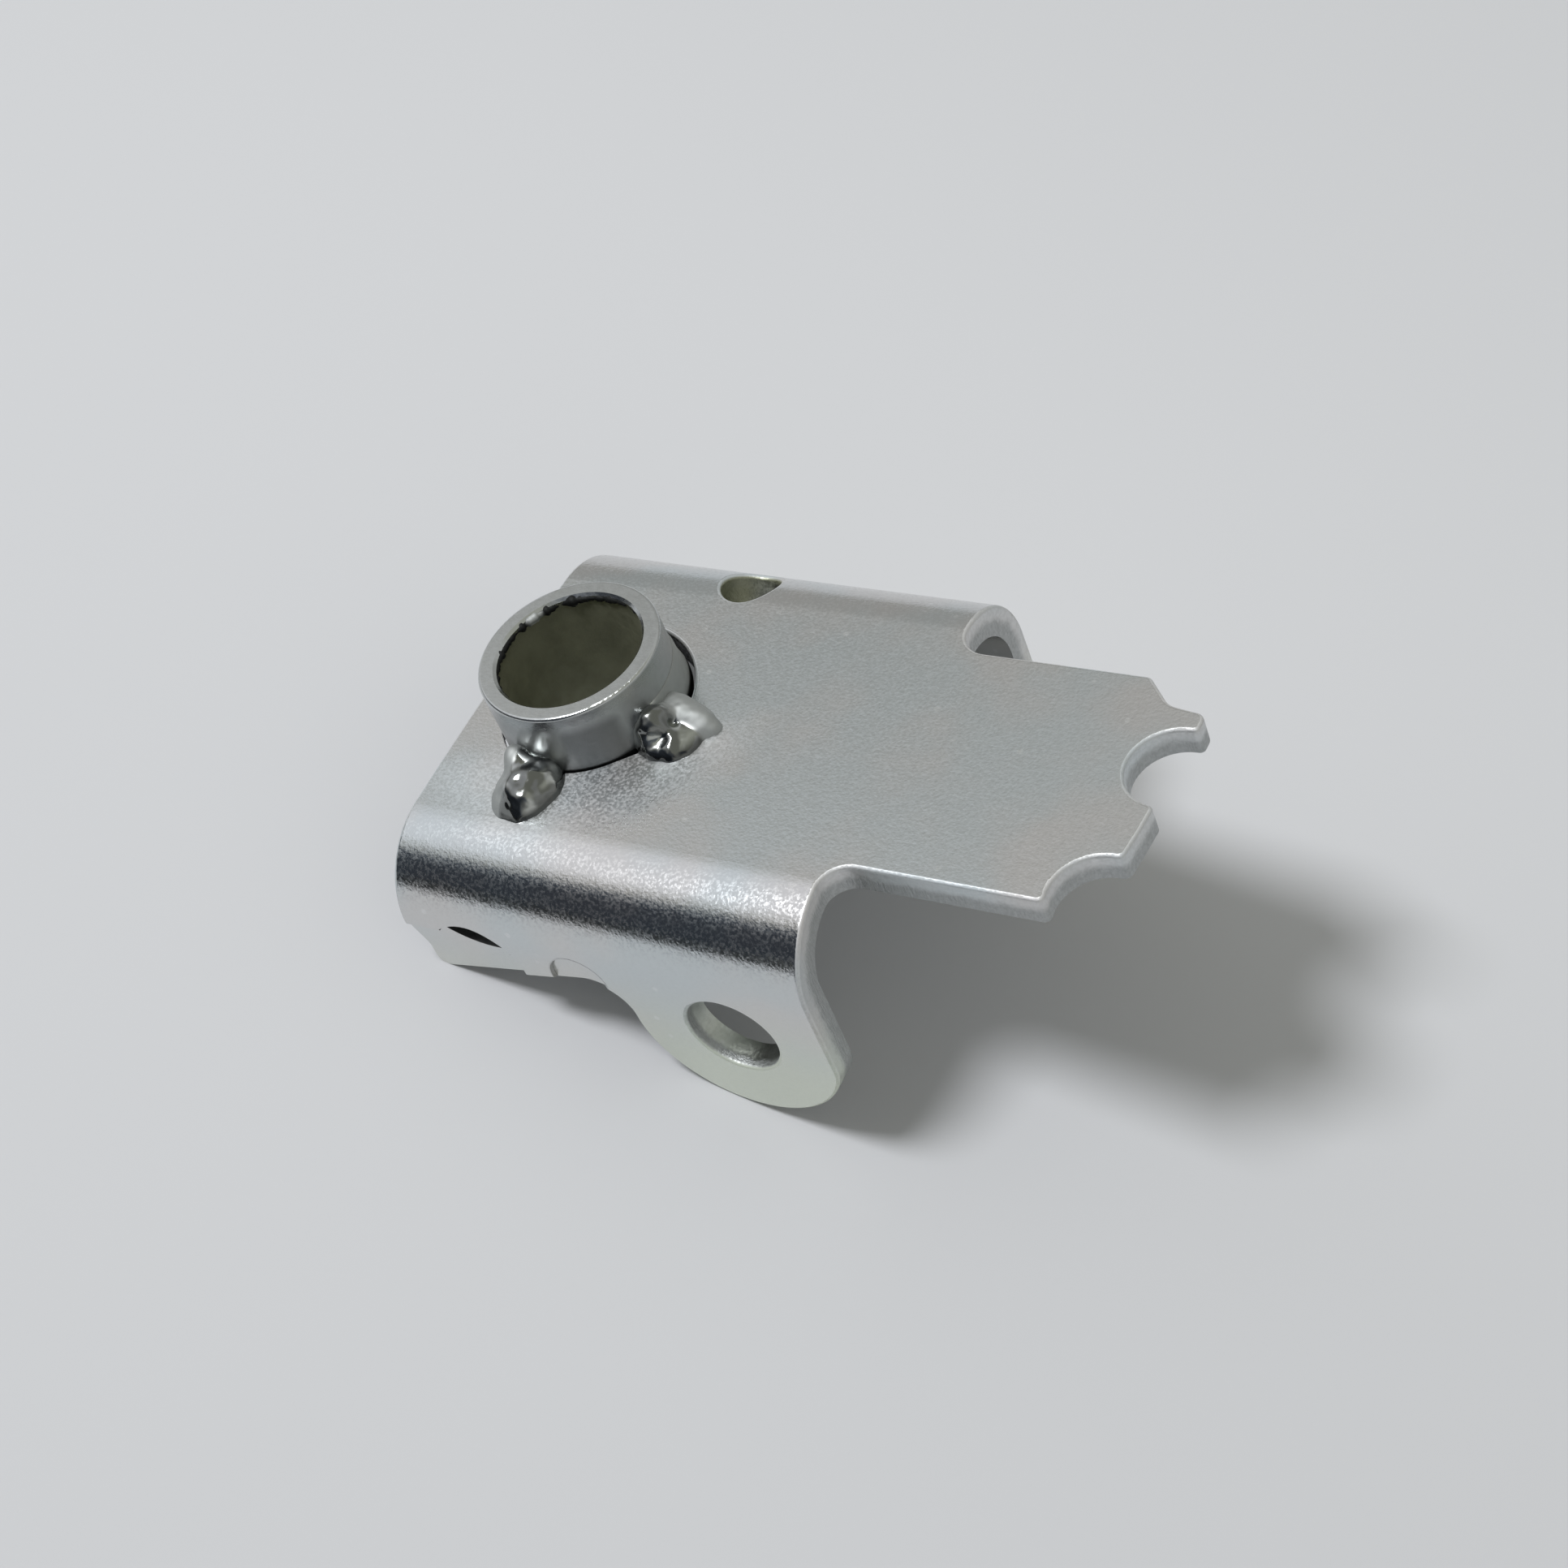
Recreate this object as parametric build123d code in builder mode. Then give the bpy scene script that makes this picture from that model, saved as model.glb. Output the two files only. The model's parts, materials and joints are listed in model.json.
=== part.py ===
from build123d import *
from math import asin, atan2, cos, hypot, radians, sin, sqrt, tan
import os

# Gear shift bracket: a folded channel of sheet steel with two pivot ears and a toothed sector,
# and a short tube welded through its top.
#
# The part lies as it rests on a table: on the lower left corners of both flanges and on the
# round undersides of both ears, so its top leans, higher at the toothed end.
# The origin is on the pivot axis, midway between the ears. +X runs to the toothed end, +Y along
# the pivot axis to the back, and +Z up.
# Sizes are in millimetres. Along, across and below are measured square to the leaning top.

# Sheet and folds
sheet = 3.2
bend_inside = 6.0
channel_width = 51.8
edge_rollover = 0.42

# Ends of the channel, from the tube's axis
tube_to_left_end = 13.4
left_end_bow = 0.65

# Tube
tube_outside = 20.0
tube_wall = 2.0
tube_length = 20.0
tube_above_top = 7.7
tube_behind_middle = 0.45
tube_rim_round = 0.35
tube_bore_chamfer = 0.3
tube_hole_clearance = 1.15

# Pivot ears
tube_to_pivot = 25.1
pivot_below_top = 16.6
pivot_bore = 10.3
ear_radius = 11.8
ear_blend = 4.4
front_end_inset = 0.6
front_end_round = 5.0

# Flanges beside the ears: the lower edge climbs from the left corner to the ear
flange_corner_depth = 16.1
flange_edge_climb = 10.2
flange_corner_round = 1.2
corner_cut_depth = 10.2
corner_cut_along = 1.1
corner_cut_height = 2.4
corner_cut_round = 3.0

# Toothed sector, with its notches on a circle about the tube's axis, just past the teeth's tips
sector_front = 14.65
sector_back = 14.25
sector_reach = 65.2
relief_round = 3.0
notch_radius = 4.8
notches_past_teeth = 0.05
first_notch_angle = 2.6
notch_pitch = 14.4
tooth_round = 0.7

# Finger at the back of the sector, and the shoulder that leads to it
finger_past_teeth = 0.6
finger_width = 2.3
finger_back_round = 1.1
finger_front_round = 0.55
finger_tip_to_neck = 4.2
finger_neck_across = 11.05
neck_round = 2.5
finger_tip_to_shoulder = 7.35
shoulder_round = 1.0

# Hole through the back bend
bend_hole = 6.5
tube_to_bend_hole = 9.0
bend_hole_angle = 22.0

# Half round marks pressed into the front flange at its lower edge
large_mark_radius = 5.7
tube_to_large_mark = -4.7
large_mark_above_edge = 1.5
large_mark_depth = 0.75
small_mark_radius = 3.35
tube_to_small_mark = 8.1
small_mark_above_edge = 0.1
small_mark_depth = 0.45

# Slit torn open along the upper edge of the large mark
slit_left_angle = 126.0
slit_right_angle = 30.0
slit_width = 2.9
slit_outside_mark = 0.15

# Weld beads: how deep they fill the gap round the tube, then for each its direction from the
# tube's axis, its toe and its thickest place from the tube's wall, and the radius of its round
weld_root = 1.5
weld_front_direction = -92.0
weld_front_toe = 6.9
weld_front_middle = 2.9
weld_front_radius = 3.6
weld_right_direction = -13.0
weld_right_toe = 6.0
weld_right_middle = 1.6
weld_right_radius = 3.7
weld_back_direction = 135.0
weld_back_toe = 5.9
weld_back_middle = 2.2
weld_back_radius = 3.6

# Worked out from the sizes above
bend_outside = bend_inside + sheet
half_width = channel_width / 2
tube_radius = tube_outside / 2
tube_bore_radius = tube_radius - tube_wall
channel_depth = pivot_below_top + ear_radius
flange_left = left_end_bow - tube_to_left_end - tube_to_pivot
tube_to_back_end = tube_to_pivot + ear_radius
tube_to_front_end = tube_to_back_end - front_end_inset
notch_circle = sector_reach + notches_past_teeth
finger_reach = sector_reach + finger_past_teeth
past_end = left_end_bow + sheet
past_width = half_width + sheet
bow_radius = (half_width**2 + left_end_bow**2) / (2 * left_end_bow)
bow_past_width = bow_radius - sqrt(bow_radius**2 - past_width**2)
climb = tan(radians(flange_edge_climb))
corner_along = flange_left + corner_cut_along
corner_up = pivot_below_top - flange_corner_depth
cut_top_up = pivot_below_top - corner_cut_depth
cut_bottom_up = cut_top_up - corner_cut_height
cut_slope = corner_cut_height / corner_cut_along
second_notch_angle = first_notch_angle - notch_pitch
same_place = 0.05

# The rest line touches the round of the flange corner and the round of the ear from below
round_along = corner_along + flange_corner_round
round_up = corner_up + climb * flange_corner_round
round_up += flange_corner_round / cos(radians(flange_edge_climb))
round_to_pivot = hypot(round_along, round_up)
lean = atan2(round_up, -round_along) + asin((ear_radius - flange_corner_round) / round_to_pivot)
along = Vector(cos(lean), 0, sin(lean))
upward = Vector(-sin(lean), 0, cos(lean))

# Planes: the top, beside the tube's axis in the middle of the channel, the tube's own place on
# it, the left end of the channel, the side view through the pivot, and the two front faces
top = Plane(
    origin=upward * pivot_below_top - along * tube_to_pivot,
    x_dir=along,
    z_dir=upward,
)
tube_place = Plane(
    origin=top.from_local_coords((0, tube_behind_middle, 0)),
    x_dir=along,
    z_dir=upward,
)
left_end = Plane(
    origin=top.from_local_coords((-tube_to_left_end, 0, 0)),
    x_dir=(0, 1, 0),
    z_dir=along,
)
bend_hole_place = Plane(
    origin=top.from_local_coords((tube_to_bend_hole, half_width - bend_outside, -bend_outside)),
    x_dir=along,
    z_dir=upward * cos(radians(bend_hole_angle)) + Vector(0, sin(radians(bend_hole_angle)), 0),
)
side_view = Plane(origin=(0, 0, 0), x_dir=along, z_dir=(0, -1, 0))
front_face = side_view.offset(half_width)
front_inner_face = side_view.offset(half_width - sheet)


def edge_height(position):
    """Height of a flange's lower edge above the pivot axis, at a distance along from it."""
    return corner_up + climb * (position - corner_along)


def around(centre, radius, angle):
    """Point at a radius and an angle about a centre."""
    return (
        centre[0] + radius * cos(radians(angle)),
        centre[1] + radius * sin(radians(angle)),
    )


def near(sketch, *points):
    """The vertices of a sketch that lie at one of the points."""
    return sketch.vertices().filter_by(
        lambda v: any(hypot(v.X - x, v.Y - y) < same_place for x, y in points)
    )


def on_tooth_corner(vertex):
    """True where a notch meets the sector's reach or its front side."""
    return vertex.Y < first_notch[1] and any(
        abs(hypot(vertex.X - x, vertex.Y - y) - notch_radius) < same_place
        for x, y in (first_notch, second_notch)
    )


def on_ear(vertex):
    """True where a straight side meets the ear's round."""
    return abs(hypot(vertex.X, vertex.Y) - ear_radius) < same_place


def on_outer_skin(face):
    """True for the top, the outer sides of the bends and the outer sides of the flanges."""
    return face.normal_at().dot(upward) > same_place or abs(
        face.center().Y
    ) > half_width - same_place


def bead_plane(direction, middle):
    """Plane through a weld bead: x outward from the tube, y up, origin at its thickest place."""
    outward = along * cos(radians(direction)) + Vector(0, sin(radians(direction)), 0)
    return Plane(
        origin=tube_place.origin + outward * (tube_radius + middle),
        x_dir=outward,
        z_dir=outward.cross(upward),
    )


slit_radius = large_mark_radius + slit_outside_mark

# Centres of the notches on the top, and of the marks and the ear's blend on the front flange
first_notch = around((0, tube_behind_middle), notch_circle, first_notch_angle)
second_notch = around((0, tube_behind_middle), notch_circle, second_notch_angle)
large_mark = (
    tube_to_large_mark - tube_to_pivot,
    edge_height(tube_to_large_mark - tube_to_pivot) + large_mark_above_edge,
)
small_mark = (
    tube_to_small_mark - tube_to_pivot,
    edge_height(tube_to_small_mark - tube_to_pivot) + small_mark_above_edge,
)

# Bracket plate
with BuildPart() as bracket_plate:
    # Channel section, run the whole length of the part
    with BuildSketch(left_end) as section:
        Rectangle(channel_width, channel_depth, align=(Align.CENTER, Align.MAX))
        fillet(section.vertices().group_by(Axis.Y)[-1], bend_outside)
        with BuildSketch(mode=Mode.PRIVATE) as hollow:
            with Locations((0, -sheet)):
                Rectangle(
                    channel_width - 2 * sheet,
                    channel_depth,
                    align=(Align.CENTER, Align.MAX),
                )
            fillet(hollow.vertices().group_by(Axis.Y)[-1], bend_inside)
        add(hollow.sketch, mode=Mode.SUBTRACT)
    extrude(amount=tube_to_left_end + finger_reach)

    # Outline from above: bowed left end, square ends of the flanges, toothed sector
    with BuildSketch(top) as top_outline:
        shoulder = (finger_reach - finger_tip_to_shoulder, sector_back)
        neck = (finger_reach - finger_tip_to_neck, finger_neck_across)
        finger_low = (finger_reach, first_notch[1] + notch_radius)
        finger_high = (finger_reach, finger_low[1] + finger_width)
        back_relief = (tube_to_back_end, sector_back)
        front_relief = (tube_to_front_end, -sector_front)
        with BuildLine():
            bow = ThreePointArc(
                (bow_past_width - tube_to_left_end, -past_width),
                (-tube_to_left_end, 0),
                (bow_past_width - tube_to_left_end, past_width),
            )
            back_side = Polyline(
                bow @ 1,
                (tube_to_back_end, past_width),
                back_relief,
                shoulder,
                neck,
                finger_high,
                finger_low,
                (first_notch[0], finger_low[1]),
                first_notch,
                around((0, tube_behind_middle), sector_reach, first_notch_angle - notch_pitch / 4),
            )
            tooth_tip = ThreePointArc(
                back_side @ 1,
                around((0, tube_behind_middle), sector_reach, first_notch_angle - notch_pitch / 2),
                around((0, tube_behind_middle), sector_reach, second_notch_angle + notch_pitch / 4),
            )
            Polyline(
                tooth_tip @ 1,
                second_notch,
                (second_notch[0], -sector_front),
                front_relief,
                (tube_to_front_end, -past_width),
                bow @ 0,
            )
        make_face()
        with Locations(first_notch, second_notch):
            Circle(notch_radius, mode=Mode.SUBTRACT)
        fillet(near(top_outline, back_relief, front_relief), relief_round)
        fillet(near(top_outline, shoulder), shoulder_round)
        fillet(near(top_outline, neck), neck_round)
        fillet(near(top_outline, finger_high), finger_back_round)
        fillet(near(top_outline, finger_low), finger_front_round)
        fillet(top_outline.vertices().filter_by(on_tooth_corner), tooth_round)
    extrude(amount=-channel_depth, mode=Mode.INTERSECT)

    # Outline from the side: lower left corner, climbing lower edge, round ear
    with BuildSketch(side_view) as side_outline:
        with BuildLine():
            Polyline(
                (flange_left - past_end, pivot_below_top + sheet),
                (flange_left - past_end, cut_top_up + cut_slope * past_end),
                (corner_along, cut_bottom_up),
                (corner_along, corner_up),
                (0, edge_height(0)),
                (0, 0),
                (ear_radius, 0),
                (ear_radius, pivot_below_top + sheet),
                close=True,
            )
        make_face()
        Circle(ear_radius)
        fillet(side_outline.vertices().filter_by(on_ear).sort_by(Axis.X)[0], ear_blend)
        fillet(near(side_outline, (corner_along, corner_up)), flange_corner_round)
        fillet(near(side_outline, (corner_along, cut_bottom_up)), corner_cut_round)
        with Locations((0, pivot_below_top - bend_outside)):
            Rectangle(finger_reach, bend_outside + sheet, align=(Align.MIN, Align.MIN))
    extrude(amount=past_width, both=True, mode=Mode.INTERSECT)

    # The front flange ends a little short of the ear's round, with the corner rounded off
    front_end_along = ear_radius - front_end_inset
    front_end_corner = front_face.from_local_coords(
        (front_end_along, -sqrt(ear_radius**2 - front_end_along**2), -sheet / 2)
    )
    fillet(bracket_plate.edges().sort_by_distance(front_end_corner)[0], front_end_round)

    # Holes for the tube and for the pivot, and the one through the back bend
    with BuildSketch(tube_place):
        Circle(tube_radius + tube_hole_clearance)
    extrude(amount=-sheet, mode=Mode.SUBTRACT)
    with BuildSketch(side_view):
        Circle(pivot_bore / 2)
    extrude(amount=past_width, both=True, mode=Mode.SUBTRACT)
    with BuildSketch(bend_hole_place):
        Circle(bend_hole / 2)
    extrude(amount=bend_outside + sheet, mode=Mode.SUBTRACT)

    # Cut edges roll over slightly all round the outer skin, where the punch went in
    skin_edges = bracket_plate.faces().filter_by(on_outer_skin).edges()
    fillet(skin_edges.filter_by(lambda edge: skin_edges.count(edge) == 1), edge_rollover)

    # Marks: the outer face is pressed in, and the inner face stands out by as much
    for face, mode in ((front_inner_face, Mode.ADD), (front_face, Mode.SUBTRACT)):
        with BuildSketch(face):
            with Locations(large_mark):
                Circle(large_mark_radius)
            with Locations(around(large_mark, large_mark_radius, slit_left_angle)):
                Rectangle(channel_depth, channel_depth, align=(Align.MAX, Align.MAX))
            add(side_outline.sketch_local, mode=Mode.INTERSECT)
        extrude(amount=-large_mark_depth, mode=mode)
        with BuildSketch(face):
            with Locations(small_mark):
                Circle(small_mark_radius)
            add(side_outline.sketch_local, mode=Mode.INTERSECT)
        extrude(amount=-small_mark_depth, mode=mode)

    # Slit between the upper edge of the large mark and a flatter arc below it
    with BuildSketch(front_face):
        slit_left = around(large_mark, slit_radius, slit_left_angle)
        slit_right = around(large_mark, slit_radius, slit_right_angle)
        slit_middle_angle = (slit_left_angle + slit_right_angle) / 2
        slit_top = around(large_mark, slit_radius, slit_middle_angle)
        slit_bottom = around(large_mark, slit_radius - slit_width, slit_middle_angle)
        with BuildLine():
            ThreePointArc(slit_left, slit_top, slit_right)
            ThreePointArc(slit_left, slit_bottom, slit_right)
        make_face()
    extrude(amount=-sheet - large_mark_depth, mode=Mode.SUBTRACT)

# Tube, square to the top, with a round outer rim and a broken inner edge at each end
with BuildPart() as tube:
    with BuildSketch(tube_place.offset(tube_above_top)):
        Circle(tube_radius)
        Circle(tube_bore_radius, mode=Mode.SUBTRACT)
    extrude(amount=-tube_length)
    tube_rims = tube.edges().filter_by(GeomType.CIRCLE).sort_by(SortBy.RADIUS)
    chamfer(tube_rims[:2], tube_bore_chamfer)
    fillet(tube_rims[-2:], tube_rim_round)


def weld_bead(direction, middle, toe, radius):
    """Rounded bead from the tube's wall to its toe on the plate, clear of both."""
    place = bead_plane(direction, middle)
    with BuildSketch(place) as profile:
        Ellipse(toe - middle, radius)
        Rectangle(2 * toe, 2 * radius, align=(Align.CENTER, Align.MAX), mode=Mode.SUBTRACT)
    revolve(profile.sketch, axis=Axis(place.origin, place.x_dir))
    split(bisect_by=tube_place.offset(-weld_root), keep=Keep.TOP)
    add(bracket_plate.part, mode=Mode.SUBTRACT)
    with Locations(tube_place):
        Cylinder(tube_radius, 2 * tube_length, mode=Mode.SUBTRACT)


# Weld bead at the front of the tube
with BuildPart() as weld_front:
    weld_bead(weld_front_direction, weld_front_middle, weld_front_toe, weld_front_radius)

# Weld bead at the right of the tube
with BuildPart() as weld_right:
    weld_bead(weld_right_direction, weld_right_middle, weld_right_toe, weld_right_radius)

# Weld bead at the back of the tube
with BuildPart() as weld_back:
    weld_bead(weld_back_direction, weld_back_middle, weld_back_toe, weld_back_radius)

os.makedirs("parts", exist_ok=True)
bracket_plate.part.label = "bracket_plate"
export_step(bracket_plate.part, "parts/bracket_plate.step")
tube.part.label = "tube"
export_step(tube.part, "parts/tube.step")
weld_front.part.label = "weld_front"
export_step(weld_front.part, "parts/weld_front.step")
weld_right.part.label = "weld_right"
export_step(weld_right.part, "parts/weld_right.step")
weld_back.part.label = "weld_back"
export_step(weld_back.part, "parts/weld_back.step")
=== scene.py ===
"""Finishes, weld beads, light and camera for the gear shift bracket.

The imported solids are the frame. Everything here is in metres in the same frame: the origin on the
pivot axis midway between the ears, +X to the toothed end, +Y to the back and +Z up.
"""

import json
from math import cos, pi, radians, sin

import bmesh
import bpy
from mathutils import Matrix, Vector, noise


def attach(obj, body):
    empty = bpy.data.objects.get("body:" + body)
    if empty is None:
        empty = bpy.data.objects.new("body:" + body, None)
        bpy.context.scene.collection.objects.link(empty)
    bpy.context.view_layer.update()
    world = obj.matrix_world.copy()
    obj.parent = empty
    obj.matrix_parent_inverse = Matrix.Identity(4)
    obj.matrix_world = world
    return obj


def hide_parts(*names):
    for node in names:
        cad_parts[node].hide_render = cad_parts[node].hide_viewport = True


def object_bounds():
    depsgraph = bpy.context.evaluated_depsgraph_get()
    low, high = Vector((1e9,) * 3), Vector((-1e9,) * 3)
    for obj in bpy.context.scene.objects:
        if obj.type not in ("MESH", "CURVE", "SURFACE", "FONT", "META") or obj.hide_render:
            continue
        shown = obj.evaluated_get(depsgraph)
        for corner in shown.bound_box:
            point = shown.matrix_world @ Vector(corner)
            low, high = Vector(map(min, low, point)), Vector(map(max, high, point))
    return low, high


bl_info = {
    "name": "Gear shift bracket",
    "version": (1, 0, 0),
    "blender": (4, 5, 0),
    "location": "View3D > Sidebar > Bracket",
    "description": "Dresses the packed gear shift bracket and sets the stage for it",
    "category": "Object",
}

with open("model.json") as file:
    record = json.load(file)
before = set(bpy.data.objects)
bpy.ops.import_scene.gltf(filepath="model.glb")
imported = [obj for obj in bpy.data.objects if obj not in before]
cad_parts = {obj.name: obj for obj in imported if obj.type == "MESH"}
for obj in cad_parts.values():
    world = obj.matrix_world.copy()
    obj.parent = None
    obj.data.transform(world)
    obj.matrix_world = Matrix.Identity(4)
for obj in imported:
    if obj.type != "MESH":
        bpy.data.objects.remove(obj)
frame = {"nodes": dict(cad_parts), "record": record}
cad_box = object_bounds()

MM = 0.001

# Axes of the leaning plate, from the tube's bore as the record gives it
bore = next(m for m in frame["record"]["mounts"] if m["name"] == "tube_bore")
UP = Vector(bore["axis"]).normalized()
BACK = Vector((0, 1, 0))
ALONG = BACK.cross(UP)
LEAN = Vector((0, 0, 1)).angle(UP)

# The tube stands this far above the plate, and its rim is the top of the tube's node
TUBE_ABOVE = 7.7 * MM
TUBE_TOP = max(v.co.dot(UP) for v in frame["nodes"]["tube"].data.vertices)

# Where the tube's axis meets the top of the plate
BORE_CENTRE = Vector(bore["pos_m"])
TUBE_FOOT = BORE_CENTRE + UP * (TUBE_TOP - TUBE_ABOVE - BORE_CENTRE.dot(UP))


def mm(*sizes):
    """Sizes in millimetres, turned to metres."""
    return [size * MM for size in sizes]


def linear(hex_colour):
    """Linear red, green and blue of an sRGB hex colour."""
    shown = [int(hex_colour[i : i + 2], 16) / 255 for i in (1, 3, 5)]
    return [c / 12.92 if c <= 0.04045 else ((c + 0.055) / 1.055) ** 2.4 for c in shown]


def rgba(rgb):
    """Colour with full alpha."""
    return (*rgb, 1.0)


def shade(rgb, share):
    """Colour at a share of its brightness."""
    return [c * share for c in rgb]


def colour(name, description, hex_colour):
    """A colour property with its default given as sRGB hex."""
    return bpy.props.FloatVectorProperty(
        name=name,
        description=description,
        subtype="COLOR",
        size=3,
        min=0,
        max=1,
        default=linear(hex_colour),
    )


def length(name, description, millimetres):
    """A length property with its default given in millimetres."""
    return bpy.props.FloatProperty(
        name=name,
        description=description,
        subtype="DISTANCE",
        unit="LENGTH",
        default=millimetres * MM,
    )


class PlateSizes(bpy.types.PropertyGroup):
    """Sizes of the sheet that the finish follows, and the colours of the plating."""

    zinc: colour("Zinc", "Zinc plating seen straight on", "#D7D6D5")
    warm: colour("Warm zinc", "Zinc plating where the passivation ran down and is thicker", "#DBE0D2")
    cool: colour("Cool zinc", "Zinc plating where the passivation is thinnest", "#D0D6D8")
    sheared: colour("Sheared edge", "Cut edge of the sheet, plated over tearing marks", "#B9BCBC")
    soot: colour("Painted shade", "Soot in the gap round the tube", "#1E1E1C")
    olive: colour("Olive", "Thick passivation that pooled in the bend's hole", "#9A9B7C")
    bend_outside: length("Bend", "Outer radius of the bends", 9.2)
    half_width: length("Half width", "Half of the channel's width", 25.9)
    tube_behind_middle: length("Tube place", "How far the tube stands behind the middle", 0.45)
    tube_hole: length("Tube's hole", "Radius of the hole that the tube goes through", 11.15)
    pivot_edge: length("Pivot edge", "Radius within which a wall belongs to a pivot hole", 6.0)
    bend_hole_place: length("Bend's hole", "How far along from the tube the bend's hole is", 9.0)


class TubeSizes(bpy.types.PropertyGroup):
    """Sizes and colours of the tube."""

    zinc: colour("Zinc", "Zinc plating on the drawn tube", "#C9CCCC")
    inside: colour("Bore", "Thin, dull plating deep in the bore", "#B6B7A0")
    radius: length("Radius", "Outer radius of the tube", 10.0)
    bore_radius: length("Bore radius", "Radius of the tube's bore", 8.0)


class BeadSizes(bpy.types.PropertyGroup):
    """Colour of the weld beads, and how deep they go."""

    metal: colour("Weld metal", "Plated weld metal, glossy where it froze smooth", "#BFC2C0")
    root: length("Root", "How far a bead fills the gap below the top of the plate", 1.5)


class StageSizes(bpy.types.PropertyGroup):
    """The table, the camera and the light."""

    table: colour("Table", "Pale matt table", "#CBCCCE")
    lens: bpy.props.FloatProperty(
        name="Lens",
        description="Focal length on a 36 mm sensor",
        subtype="DISTANCE_CAMERA",
        default=68.52,
    )
    key_strength: bpy.props.FloatProperty(
        name="Window",
        description="Strength of the light from the window",
        default=2.36,
    )
    sky_strength: bpy.props.FloatProperty(
        name="Room",
        description="Brightness of the ceiling",
        default=0.425,
    )


# Finishes

# Kinds of node that they are made from, each with its settings
PLUS = ("ShaderNodeMath", {"operation": "ADD"})
MINUS = ("ShaderNodeMath", {"operation": "SUBTRACT"})
TIMES = ("ShaderNodeMath", {"operation": "MULTIPLY"})
TIMES_PLUS = ("ShaderNodeMath", {"operation": "MULTIPLY_ADD"})
OVER = ("ShaderNodeMath", {"operation": "DIVIDE"})
LARGER = ("ShaderNodeMath", {"operation": "MAXIMUM"})
UNSIGNED = ("ShaderNodeMath", {"operation": "ABSOLUTE"})
SIGN = ("ShaderNodeMath", {"operation": "SIGN"})
ROOT = ("ShaderNodeMath", {"operation": "SQRT"})
SMOOTH = ("ShaderNodeMapRange", {"interpolation_type": "SMOOTHSTEP"})
BLEND = ("ShaderNodeMix", {"data_type": "RGBA", "clamp_factor": True})
CLOUD = ("ShaderNodeTexNoise", {})
CELLS = ("ShaderNodeTexVoronoi", {"feature": "F1"})
PLACE = ("ShaderNodeTexCoord", {})
GEOMETRY = ("ShaderNodeNewGeometry", {})
STRETCH = ("ShaderNodeMapping", {})
TURN = ("ShaderNodeMapping", {"vector_type": "TEXTURE"})
SCALE = ("ShaderNodeVectorMath", {"operation": "MULTIPLY"})
APART = ("ShaderNodeVectorMath", {"operation": "DISTANCE"})
PARTS = ("ShaderNodeSeparateXYZ", {})
COLOUR_PARTS = ("ShaderNodeSeparateColor", {})
BUMP = ("ShaderNodeBump", {})
SHADER = ("ShaderNodeBsdfPrincipled", {})
GLOW = ("ShaderNodeEmission", {})
OUTPUT = ("ShaderNodeOutputMaterial", {})
FALLOFF = ("ShaderNodeLightFalloff", {})


def add(tree, kind, *values):
    """Adds a node of a kind with its settings, and fills or links its inputs.

    The values are for the inputs in their order, or are one dictionary that names the inputs. A
    node among them stands for its first output in use.
    """
    node_type, settings = kind
    node = tree.nodes.new(node_type)
    for name, setting in settings.items():
        setattr(node, name, setting)
    if values and isinstance(values[0], dict):
        pairs = [(node.inputs[name], value) for name, value in values[0].items()]
    else:
        pairs = zip([socket for socket in node.inputs if socket.enabled], values)
    for socket, value in pairs:
        if isinstance(value, bpy.types.Node):
            value = next(output for output in value.outputs if output.enabled)
        if isinstance(value, bpy.types.NodeSocket):
            tree.links.new(value, socket)
        elif socket.type == "RGBA":
            socket.default_value = rgba(value)
        else:
            socket.default_value = value
    return node


def per_mm(size):
    """Texture scale that gives features of a size in millimetres."""
    return 1 / (size * MM)


def product(tree, first, *others):
    """All values multiplied."""
    for other in others:
        first = add(tree, TIMES, first, other)
    return first


def summed(tree, start, terms):
    """Start plus the terms, each a value and what it is multiplied by."""
    for value, times in terms:
        start = add(tree, TIMES_PLUS, value, times, start)
    return start


def strongest(tree, start, others):
    """The largest of start and the others, each a value and what it is multiplied by."""
    for value, times in others:
        start = add(tree, LARGER, start, add(tree, TIMES, value, times))
    return start


def laid_over(tree, base, layers):
    """Base colour under layers, each where it is, how strongly it covers, and its colour."""
    for where, strength, tint in layers:
        base = add(tree, BLEND, add(tree, TIMES, where, strength), base, tint)
    return base


def hypotenuse(tree, a, b):
    """Length of the long side over two square ones."""
    return add(tree, ROOT, add(tree, TIMES_PLUS, a, a, add(tree, TIMES, b, b)))


def leaning(tree, vector, origin=(0, 0, 0)):
    """A place or direction on the leaning plate: as a vector, and as along, back and up."""
    turned = add(tree, TURN, {"Vector": vector, "Location": origin, "Rotation": (0, -LEAN, 0)})
    return turned, *add(tree, PARTS, turned).outputs


def new_material(name):
    """Material with an empty node tree, and that tree."""
    material = bpy.data.materials.new(name)
    material.use_nodes = True
    material.node_tree.nodes.clear()
    return material, material.node_tree


def surface(tree, inputs):
    """Ends a tree with a shader that has these inputs."""
    shader = add(tree, SHADER, inputs)
    add(tree, OUTPUT, {"Surface": shader})


def metal_surface(tree, base, roughness, height):
    """Ends a metal's tree with its colour, its roughness and the height of its relief."""
    bump = add(tree, BUMP, {"Strength": 1.0, "Distance": 1.0, "Height": height})
    surface(tree, {"Metallic": 1.0, "Base Color": base, "Roughness": roughness, "Normal": bump})


# Fine pebbled grain of zinc over pickled sheet, with a coarser waviness, in millimetres. The real
# grain is near 0.1 mm, too fine to show, and is drawn at 0.35 mm.
GRAIN_SIZE = 0.35
GRAIN_CRISPNESS = 0.6
WAVE_SIZE = 1.4
WAVE_SHARE = 0.4


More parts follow.
